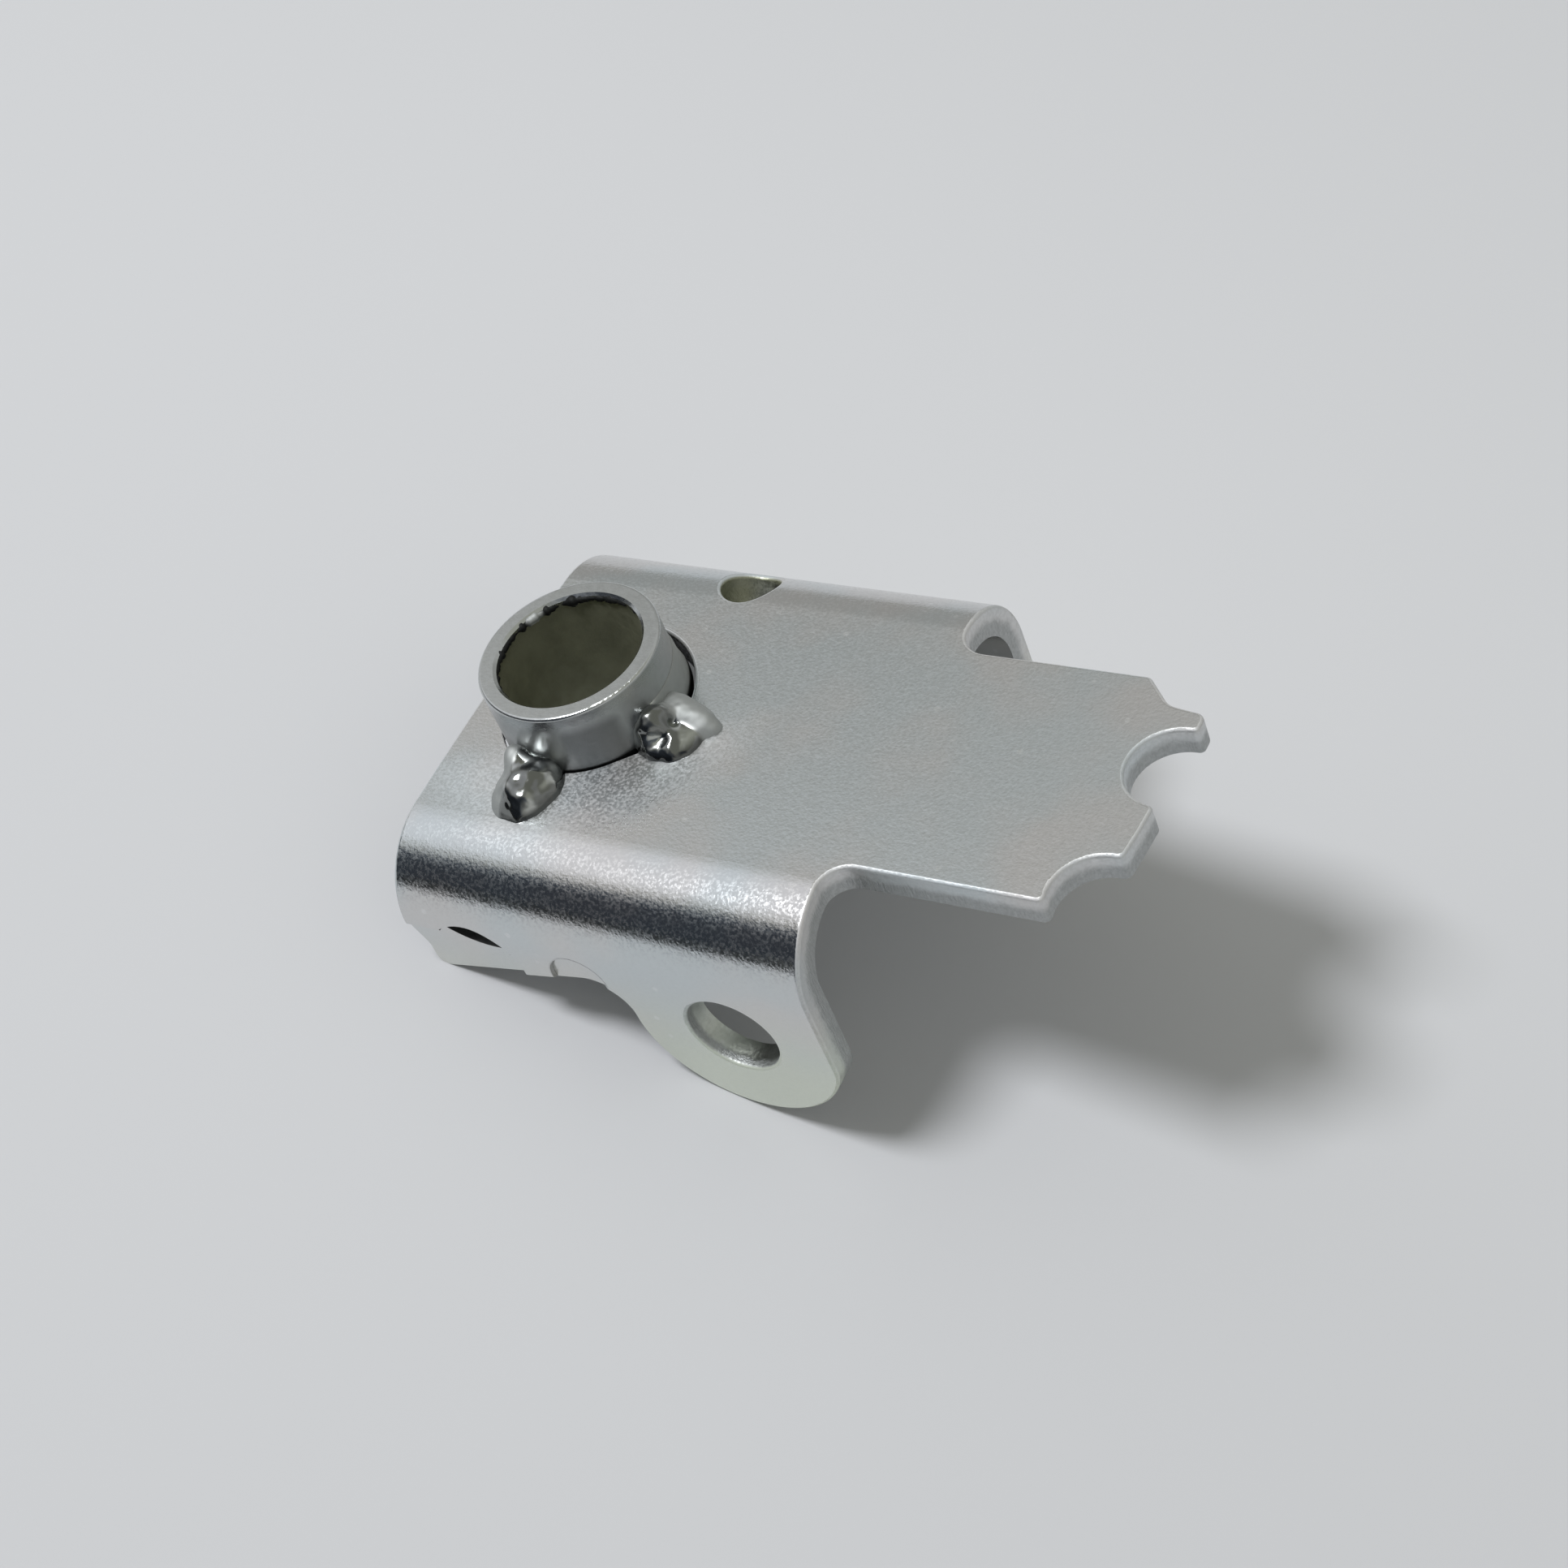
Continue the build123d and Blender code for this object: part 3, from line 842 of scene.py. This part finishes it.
def room_walls(ceiling):
    """Walls of a plain room: dim low down at the front, bright round the windows on the left."""
    material, tree = new_material("room_walls")
    place = add(tree, PLACE).outputs["Object"]
    in_radii = add(tree, SCALE, place, [1 / WALL_RADIUS] * 3)
    right, back, height = add(tree, PARTS, in_radii).outputs
    low = add(
        tree,
        LARGER,
        add(tree, SMOOTH, back, *LOW_BACKWARD),
        add(tree, SMOOTH, right, *LOW_RIGHTWARD),
    )
    upper = add(tree, SMOOTH, height, *HIGH_UPWARD)
    front_share = add(tree, SMOOTH, back, *FRONT_SHARE)
    all_round = add(tree, SMOOTH, right, *HIGH_LEFTWARD, upper, WINDOW_SIDE)
    high = add(tree, TIMES, all_round, front_share)
    start = add(tree, TIMES_PLUS, back, START_SLOPE, START_HEIGHT)
    rise = add(tree, SMOOTH, add(tree, MINUS, height, start), *START_SOFTNESS)
    tone = add(tree, TIMES_PLUS, add(tree, MINUS, high, low), rise, low)
    fade = add(tree, TIMES, add(tree, SMOOTH, height, *CEILING_HEIGHT), front_share)
    tone = add(tree, TIMES_PLUS, add(tree, MINUS, ceiling, tone), fade, tone)
    tint = add(tree, BLEND, add(tree, SMOOTH, tone, *DARK_TO_WALL), DARK_TINT, WALL_TINT)
    tint = add(tree, BLEND, add(tree, SMOOTH, tone, *WALL_TO_WINDOW), tint, WINDOW_TINT)
    tint = add(tree, BLEND, fade, tint, ROOM_TINT)
    glow = add(tree, GLOW, {"Color": tint, "Strength": tone})
    add(tree, OUTPUT, {"Surface": glow})
    material.cycles.emission_sampling = "NONE"
    return material


# Card: its colour and its roughness
CARD_BLACK = linear("#3A3C3D")
CARD_ROUGHNESS = 0.9


def black_card():
    """Matt black card."""
    material, tree = new_material("black_card")
    surface(tree, {"Base Color": CARD_BLACK, "Roughness": CARD_ROUGHNESS})
    return material


# Pieces


def piece_from(bm, name, material, smooth_faces=True):
    """Object at the origin from a finished bmesh."""
    mesh = bpy.data.meshes.new(name)
    bm.to_mesh(mesh)
    bm.free()
    mesh.materials.append(material)
    if smooth_faces:
        mesh.shade_smooth()
    piece = bpy.data.objects.new(name, mesh)
    bpy.context.scene.collection.objects.link(piece)
    return piece


def way_round(degrees):
    """Way out from the tube's axis at an angle round it, from along to the back."""
    return Vector((cos(radians(degrees)), sin(radians(degrees)), 0))


def eased(share):
    """A share held between 0 and 1, with a smooth start and end."""
    held = min(max(share, 0.0), 1.0)
    return held**2 * (3 - 2 * held)


def stand_on_plate(bm, outward=ALONG, sideways=BACK, scale=1.0, lift=0.0):
    """Turns a shape from its own axes to the leaning plate, and stands it at the tube's foot."""
    place = Matrix.Translation(TUBE_FOOT + UP * lift)
    turn = Matrix((outward, sideways, UP)).transposed().to_4x4()
    bmesh.ops.transform(bm, matrix=place @ turn @ Matrix.Scale(scale, 4), verts=bm.verts[:])


# Weld beads: direction from the tube's axis, a place inside the bead, lobes as centre and half
# sizes, dents as direction, depth and spread, and the depth of the frozen ripples. All in
# millimetres: outward from the tube's axis, round it, and up from the plate. A dent with a depth
# below 0 is the tail that a bead draws up the tube's wall.
BEADS = {
    "weld_front": (
        -92.0,
        (12.7, 0.0, 0.4),
        (
            ((12.9, 0.2, -0.3), (4.2, 3.2, 3.4)),
            ((12.8, -1.4, -0.2), (3.9, 2.5, 1.9)),
        ),
        (
            ((0.35, 0.75, 0.55), 0.35, 0.06),
            ((0.85, -0.45, 0.3), 0.3, 0.05),
            ((0.45, 0.10, 0.88), 0.4, 0.05),
            ((-0.50, -0.63, 0.60), -2.0, 0.08),
        ),
        0.2,
    ),
    "weld_right": (
        -13.0,
        (11.6, 0.5, 0.4),
        (
            ((11.3, 2.1, 0.0), (5.0, 2.2, 2.6)),
            ((10.9, -0.8, 0.6), (2.4, 2.7, 3.3)),
            ((12.2, -0.8, 0.0), (3.6, 2.9, 2.0)),
        ),
        (
            ((0.50, -0.25, 0.80), 0.9, 0.05),
            ((0.30, -0.85, 0.40), 0.7, 0.05),
            ((0.85, -0.50, 0.20), 0.5, 0.05),
        ),
        0.3,
    ),
    "weld_back": (
        135.0,
        (12.2, 0.0, 0.4),
        (
            ((12.2, 0.0, 0.0), (3.7, 3.6, 3.6)),
            ((11.0, 1.4, 1.4), (1.9, 1.9, 3.2)),
        ),
        (),
        0.1,
    ),
}

# How sharply lobes meet, and the base by which dents and the toe fade out, near e
LOBE_SHARPNESS = 7
FADE_BASE = 2.718
# Ripples: how close the coarse and the fine ones are, and the height of a fine one in coarse ones
COARSE_RIPPLES = 0.5
FINE_RIPPLES = 1.1
FINE_SHARE = 0.3
# Wetted toe, where a bead spreads on the plate: its height in millimetres, and how much it spreads
TOE_HEIGHT = 0.5
TOE_SPREAD = 0.03
# Where a bead is cut off inside the tube's wall, in millimetres from the tube's axis
INSIDE_WALL = 8.7


def reach_of_lobe(start, direction, centre, half):
    """Distance from a start inside the bead to the far side of one lobe, or 0."""
    s = Vector([(a - c) / h for a, c, h in zip(start, centre, half)])
    d = Vector([a / h for a, h in zip(direction, half)])
    a, b, c = d.dot(d), s.dot(d), s.dot(s) - 1
    inside = b * b - a * c
    return max((-b + inside**0.5) / a, 0.0) if inside > 0 else 0.0


def bead_point(direction, start, lobes, dents, ripple, seed):
    """Point of a bead's surface: the lobes run into each other, with dents and frozen ripples."""
    reaches = [reach_of_lobe(start, direction, *lobe) ** LOBE_SHARPNESS for lobe in lobes]
    point = start + direction * sum(reaches) ** (1 / LOBE_SHARPNESS)
    lump = noise.noise(point * COARSE_RIPPLES + seed)
    lump += FINE_SHARE * noise.noise(point * FINE_RIPPLES + seed)
    point += direction * lump * ripple
    for way, deep, spread in dents:
        away = 1 - direction.dot(Vector(way).normalized())
        point -= direction * deep * FADE_BASE ** (-away / spread)
    toe = FADE_BASE ** (-max(point.z, 0.0) / TOE_HEIGHT)
    out = Vector((point.x - start.x, point.y - start.y, 0))
    point += out * TOE_SPREAD * toe
    return point


def weld_bead(name, material, root):
    """One bead, cut off at its root and inside the tube's wall."""
    direction, start, lobes, dents, ripple = BEADS[name]
    start = Vector(start)
    seed = Vector((direction, 0, 0))
    bm = bmesh.new()
    bmesh.ops.create_icosphere(bm, subdivisions=6, radius=1)
    for v in bm.verts:
        v.co = bead_point(v.co.normalized(), start, lobes, dents, ripple, seed)
    for place, normal in (((0, 0, -root / MM), (0, 0, -1)), ((INSIDE_WALL, 0, 0), (-1, 0, 0))):
        cut = bmesh.ops.bisect_plane(
            bm,
            geom=bm.verts[:] + bm.edges[:] + bm.faces[:],
            plane_co=place,
            plane_no=normal,
            clear_outer=True,
        )
        rim = [e for e in cut["geom_cut"] if isinstance(e, bmesh.types.BMEdge)]
        bmesh.ops.holes_fill(bm, edges=rim)
    bmesh.ops.triangulate(bm, faces=[f for f in bm.faces if len(f.verts) > 4])
    bmesh.ops.recalc_face_normals(bm, faces=bm.faces[:])
    outward = ALONG * cos(radians(direction)) + BACK * sin(radians(direction))
    stand_on_plate(bm, outward, UP.cross(outward), scale=MM)
    return piece_from(bm, name + "_bead", material)


# Skirt, in millimetres: how thick it is on the tube's wall, how much thicker deep in the gap, how
# far it sinks into the wall, the height of its middle and half its height
SKIRT_ON_WALL = 0.28
SKIRT_IN_GAP = 0.75
SKIRT_SUNK = 0.4
SKIRT_MIDDLE = 0.7
SKIRT_HALF = 2.9
# Height in the skirt's half heights below which it thickens
GAP_STARTS = 0.2
# Way to its middle, the cosine of the angle to its ends, and how fast it grows from them
SKIRT_WAY = way_round(16)
SKIRT_ENDS = 0.62
SKIRT_GROWTH = 1.6
# Line that it shrinks to beyond its ends, out of sight in the wall and in the gap: how far inside
# the wall, how far below the plate's top, and the share of its size that is left there
SKIRT_LINE_IN = 0.5 * MM
SKIRT_LINE_DOWN = 1.0 * MM
SKIRT_LEFT_OVER = 0.1


def weld_skirt(material, tube_radius):
    """Weld metal that ran round the right of the tube, thin on its wall and thick in the gap."""
    bm = bmesh.new()
    bmesh.ops.create_circle(bm, segments=24, radius=1)
    for v in bm.verts:
        in_gap = min(max(GAP_STARTS - v.co.y, 0.0), 1.0)
        thick = SKIRT_ON_WALL + SKIRT_IN_GAP * in_gap
        out = thick * max(v.co.x, 0.0) + SKIRT_SUNK * min(v.co.x, 0.0)
        v.co = (tube_radius + out * MM, 0, (SKIRT_MIDDLE + SKIRT_HALF * v.co.y) * MM)
    bmesh.ops.spin(
        bm, geom=bm.verts[:] + bm.edges[:], axis=(0, 0, 1), angle=2 * pi, steps=180, use_merge=True
    )
    for v in bm.verts:
        around = Vector((v.co.x, v.co.y, 0)).normalized()
        share = eased((around.dot(SKIRT_WAY) - SKIRT_ENDS) / (1 - SKIRT_ENDS) * SKIRT_GROWTH)
        line = around * (tube_radius - SKIRT_LINE_IN) - Vector((0, 0, SKIRT_LINE_DOWN))
        v.co = line + (v.co - line) * max(share, SKIRT_LEFT_OVER)
    bmesh.ops.recalc_face_normals(bm, faces=bm.faces[:])
    stand_on_plate(bm)
    return piece_from(bm, "weld_right_skirt", material)


# Near rim of the tube's hole: way to the widest part of the gap, and the gap where it is a
# hairline and what it grows by. The growth starts at a cosine and takes a span of cosines.
GAP_WAY = way_round(50)
HAIRLINE = 0.25 * MM
GAP_GROWTH = 1.4 * MM
GROWTH_START = -0.15
GROWTH_SPAN = 0.7
# How far it goes past the hole's wall, its least width, its thickness and its rounded edge
LIP_OVERLAP = 0.60 * MM
LIP_LEAST = 0.04 * MM
LIP_THICK = 0.7 * MM
LIP_ROUND = 0.1 * MM
# A hair above the plate's top, so that the rolled rim below it doesn't show
LIP_LIFT = 0.006 * MM


def hole_lip(material, tube_radius, hole_radius):
    """Rim of the tube's hole where it comes nearest to the tube, at the front left.

    The tube was welded in against this side, so the gap is a hairline here and widest opposite.
    """
    outer = hole_radius + LIP_OVERLAP
    bm = bmesh.new()
    bmesh.ops.create_circle(bm, segments=180, radius=outer)
    raised = bmesh.ops.extrude_edge_only(bm, edges=bm.edges[:])
    for v in [v for v in raised["geom"] if isinstance(v, bmesh.types.BMVert)]:
        way = v.co.normalized()
        gap = HAIRLINE + GAP_GROWTH * eased((way.dot(GAP_WAY) - GROWTH_START) / GROWTH_SPAN)
        v.co = way * min(tube_radius + gap, outer - LIP_LEAST)
    under = bmesh.ops.extrude_face_region(bm, geom=bm.faces[:])
    lower = [v for v in under["geom"] if isinstance(v, bmesh.types.BMVert)]
    bmesh.ops.translate(bm, vec=(0, 0, -LIP_THICK), verts=lower)
    within = outer - LIP_LEAST / 2
    top_inner = {v for v in bm.verts if v.co.z > -LIP_ROUND and v.co.length < within}
    bmesh.ops.bevel(
        bm,
        geom=[e for e in bm.edges if all(v in top_inner for v in e.verts)],
        offset=LIP_ROUND,
        affect="EDGES",
        segments=3,
        profile=0.5,
        material=-1,
        clamp_overlap=True,
    )
    bmesh.ops.recalc_face_normals(bm, faces=bm.faces[:])
    stand_on_plate(bm, lift=LIP_LIFT)
    return piece_from(bm, "tube_hole_lip", material, smooth_faces=False)


# Burr in the bore's mouth: way to its middle, half its thickness, how far outside the bore's wall
# its middle line runs and how far below the rim
BURR_WAY = way_round(150)
BURR_HALF = 0.46 * MM
BURR_OUT = 0.12 * MM
BURR_BELOW = 0.68 * MM
# How far round it goes, as what a cosine is multiplied by and what is added, and how its ends thin
BURR_NARROWING = 0.8
BURR_REACH = 0.35
BURR_THINNING = 0.6
# Ragged edge: its mean size, then the closeness and the height of the coarse and fine lumps
BURR_MEAN = 0.85
BURR_COARSE = (0.9, 0.9)
BURR_FINE = (2.6, 0.5)
# Share of its size that is left where it is gone, out of sight in the wall
BURR_LEFT_OVER = 0.05
# How far below the rim the glint on it is
GLINT_BELOW = 0.7 * MM


def bore_burr(material, bore_radius):
    """Ragged lip that the saw left round the far side of the bore's mouth."""
    centre = Vector((bore_radius + BURR_OUT, 0, TUBE_ABOVE - BURR_BELOW))
    bm = bmesh.new()
    bmesh.ops.create_circle(bm, segments=10, radius=1)
    side_on = Matrix.Translation(centre) @ Matrix.Rotation(radians(90), 4, "X")
    bmesh.ops.transform(bm, matrix=side_on @ Matrix.Scale(BURR_HALF, 4), verts=bm.verts[:])
    bmesh.ops.spin(
        bm, geom=bm.verts[:] + bm.edges[:], axis=(0, 0, 1), angle=2 * pi, steps=240, use_merge=True
    )
    for v in bm.verts:
        around = Vector((v.co.x, v.co.y, 0)).normalized()
        line = around * centre.x + Vector((0, 0, centre.z))
        share = max(around.dot(BURR_WAY) * BURR_NARROWING + BURR_REACH, 0.0) ** BURR_THINNING
        ragged = BURR_MEAN
        for closeness, height in (BURR_COARSE, BURR_FINE):
            ragged += height * noise.noise(around * bore_radius / MM * closeness)
        v.co = line + (v.co - line) * max(share * ragged, BURR_LEFT_OVER)
    bmesh.ops.recalc_face_normals(bm, faces=bm.faces[:])
    stand_on_plate(bm)
    return piece_from(bm, "bore_burr", material)


# Steps of the add-on


class BRACKET_OT_plate(bpy.types.Operator):
    """Gives the folded plate its zinc finish, and makes the near rim of the tube's hole"""

    bl_idname = "bracket.plate"
    bl_label = "Finish the plate"

    def execute(self, context):
        sizes = context.scene.bracket_plate_sizes
        finish = plated_sheet(sizes)
        frame["nodes"]["bracket_plate"].material_slots[0].material = finish
        lip = hole_lip(finish, context.scene.bracket_tube_sizes.radius, sizes.tube_hole)
        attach(lip, "root")
        return {"FINISHED"}


class BRACKET_OT_tube(bpy.types.Operator):
    """Gives the tube its zinc finish and its dark bore"""

    bl_idname = "bracket.tube"
    bl_label = "Finish the tube"

    def execute(self, context):
        node = frame["nodes"]["tube"]
        node.material_slots[0].material = plated_tube(context.scene.bracket_tube_sizes)
        return {"FINISHED"}


class BRACKET_OT_burr(bpy.types.Operator):
    """Makes the ragged lip in the mouth of the bore"""

    bl_idname = "bracket.burr"
    bl_label = "Make the burr"

    def execute(self, context):
        bore_radius = context.scene.bracket_tube_sizes.bore_radius
        # Where the burr keeps its bright metal; the rest of it is painted black as dark reflection
        way = ALONG * BURR_WAY.x + BACK * BURR_WAY.y
        glint = TUBE_FOOT + way * bore_radius + UP * (TUBE_ABOVE - GLINT_BELOW)
        finish = frozen_metal("plated_burr", context.scene.bracket_bead_sizes, glint)
        burr = bore_burr(finish, bore_radius)
        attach(burr, "root")
        return {"FINISHED"}


class BRACKET_OT_welds(bpy.types.Operator):
    """Makes the weld beads round the tube, and the skirt of weld metal at its right"""

    bl_idname = "bracket.welds"
    bl_label = "Make the weld beads"

    def execute(self, context):
        sizes = context.scene.bracket_bead_sizes
        material = frozen_metal("plated_weld_metal", sizes)
        for name in BEADS:
            bead = weld_bead(name, material, sizes.root)
            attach(bead, "root")
            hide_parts(name)
        skirt = weld_skirt(material, context.scene.bracket_tube_sizes.radius)
        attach(skirt, "root")
        return {"FINISHED"}


# Table, and the sides of the rings that the table and the walls are made as
TABLE_RADIUS = 1.6
RING_SIDES = 96

# Camera as the photograph has it: its place in metres, its right hand and the way it looks
CAMERA_PLACE = Vector((0.065568, -0.159800, 0.259147))
CAMERA_RIGHT = Vector((0.900224, 0.435100, 0.017012))
CAMERA_LOOK = Vector((-0.235459, 0.519300, -0.821529))
SENSOR_WIDTH = 36.0
NEAREST_SEEN = 0.01

# Window: the middle of its bright patch, and how wide that is
WINDOW_PLACE = Vector((-0.267, -0.121, 0.475))
WINDOW_WIDTH = 0.138

# Dark card low down at the front left, which the bright metal shows as a dark line along its bend
CARD_RADIUS = 0.18
CARD_TOP = 0.012
CARD_FROM = -175
CARD_TO = -85


class BRACKET_OT_stage(bpy.types.Operator):
    """Sets the table, the room's walls, the window light and the camera"""

    bl_idname = "bracket.stage"
    bl_label = "Set the stage"

    def execute(self, context):
        scene = context.scene
        sizes = scene.bracket_stage_sizes
        lowest = cad_box[0].z

        bm = bmesh.new()
        bmesh.ops.create_circle(bm, cap_ends=True, segments=RING_SIDES, radius=TABLE_RADIUS)
        bmesh.ops.translate(bm, vec=(0, 0, lowest), verts=bm.verts[:])
        table = piece_from(bm, "table_top", matt_table(sizes), smooth_faces=False)

        bm = bmesh.new()
        bmesh.ops.create_circle(bm, segments=RING_SIDES, radius=WALL_RADIUS)
        raised = bmesh.ops.extrude_edge_only(bm, edges=bm.edges[:])
        top = [v for v in raised["geom"] if isinstance(v, bmesh.types.BMVert)]
        bmesh.ops.translate(bm, vec=(0, 0, WALL_HEIGHT), verts=top)
        walls = piece_from(bm, "room_walls", room_walls(sizes.sky_strength))
        walls.visible_camera = False
        walls.visible_shadow = False

        bm = bmesh.new()
        foot = way_round(CARD_FROM) * CARD_RADIUS
        ends = [bm.verts.new((foot.x, foot.y, z)) for z in (lowest, CARD_TOP)]
        edge = bm.edges.new(ends)
        bmesh.ops.spin(
            bm, geom=[*ends, edge], axis=(0, 0, 1), angle=radians(CARD_TO - CARD_FROM), steps=24
        )
        card = piece_from(bm, "dark_card", black_card())
        card.visible_camera = False
        card.visible_shadow = False
        card.visible_diffuse = False

        window = bpy.data.lights.new("window", "AREA")
        window.shape = "DISK"
        window.size = WINDOW_WIDTH
        window.energy = sizes.key_strength * pi
        window.color = WINDOW_TINT
        # As bright over the whole table as daylight is, near as the patch stands
        window.use_nodes = True
        tree = window.node_tree
        even = add(tree, FALLOFF, {"Strength": 1.0}).outputs["Constant"]
        tree.links.new(even, tree.nodes["Emission"].inputs["Strength"])
        lamp = bpy.data.objects.new("window", window)
        lamp.matrix_world = (
            Matrix.Translation(WINDOW_PLACE)
            @ WINDOW_PLACE.to_track_quat("Z", "Y").to_matrix().to_4x4()
        )
        lamp.visible_camera = False
        scene.collection.objects.link(lamp)

        world = bpy.data.worlds.new("pale_room")
        world.use_nodes = True
        back = world.node_tree.nodes["Background"]
        back.inputs["Color"].default_value = rgba(ROOM_TINT)
        back.inputs["Strength"].default_value = sizes.sky_strength
        scene.world = world

        camera = bpy.data.objects.new("camera", bpy.data.cameras.new("camera"))
        camera.data.lens = sizes.lens
        camera.data.sensor_width = SENSOR_WIDTH
        camera.data.clip_start = NEAREST_SEEN
        turned = Matrix((CAMERA_RIGHT, CAMERA_LOOK.cross(-CAMERA_RIGHT), -CAMERA_LOOK))
        camera.matrix_world = Matrix.Translation(CAMERA_PLACE) @ turned.transposed().to_4x4()
        scene.collection.objects.link(camera)
        scene.camera = camera
        scene.view_settings.view_transform = "Standard"
        return {"FINISHED"}


class BRACKET_PT_panel(bpy.types.Panel):
    """Steps that dress the bracket"""

    bl_label = "Gear shift bracket"
    bl_idname = "BRACKET_PT_panel"
    bl_space_type = "VIEW_3D"
    bl_region_type = "UI"
    bl_category = "Bracket"

    def draw(self, context):
        for step in STEPS:
            self.layout.operator(step.bl_idname)


SIZES = {
    "bracket_plate_sizes": PlateSizes,
    "bracket_tube_sizes": TubeSizes,
    "bracket_bead_sizes": BeadSizes,
    "bracket_stage_sizes": StageSizes,
}
STEPS = (
    BRACKET_OT_plate,
    BRACKET_OT_tube,
    BRACKET_OT_burr,
    BRACKET_OT_welds,
    BRACKET_OT_stage,
)


def register():
    """Registers the sizes, the steps and the panel."""
    for name, group in SIZES.items():
        bpy.utils.register_class(group)
        setattr(bpy.types.Scene, name, bpy.props.PointerProperty(type=group))
    for step in STEPS:
        bpy.utils.register_class(step)
    bpy.utils.register_class(BRACKET_PT_panel)


def unregister():
    """Takes them all away again."""
    bpy.utils.unregister_class(BRACKET_PT_panel)
    for step in reversed(STEPS):
        bpy.utils.unregister_class(step)
    for name, group in SIZES.items():
        delattr(bpy.types.Scene, name)
        bpy.utils.unregister_class(group)


def main():
    """Runs every step."""
    register()
    bpy.ops.bracket.plate()
    bpy.ops.bracket.tube()
    bpy.ops.bracket.burr()
    bpy.ops.bracket.welds()
    bpy.ops.bracket.stage()


if __name__ == "__main__":
    main()
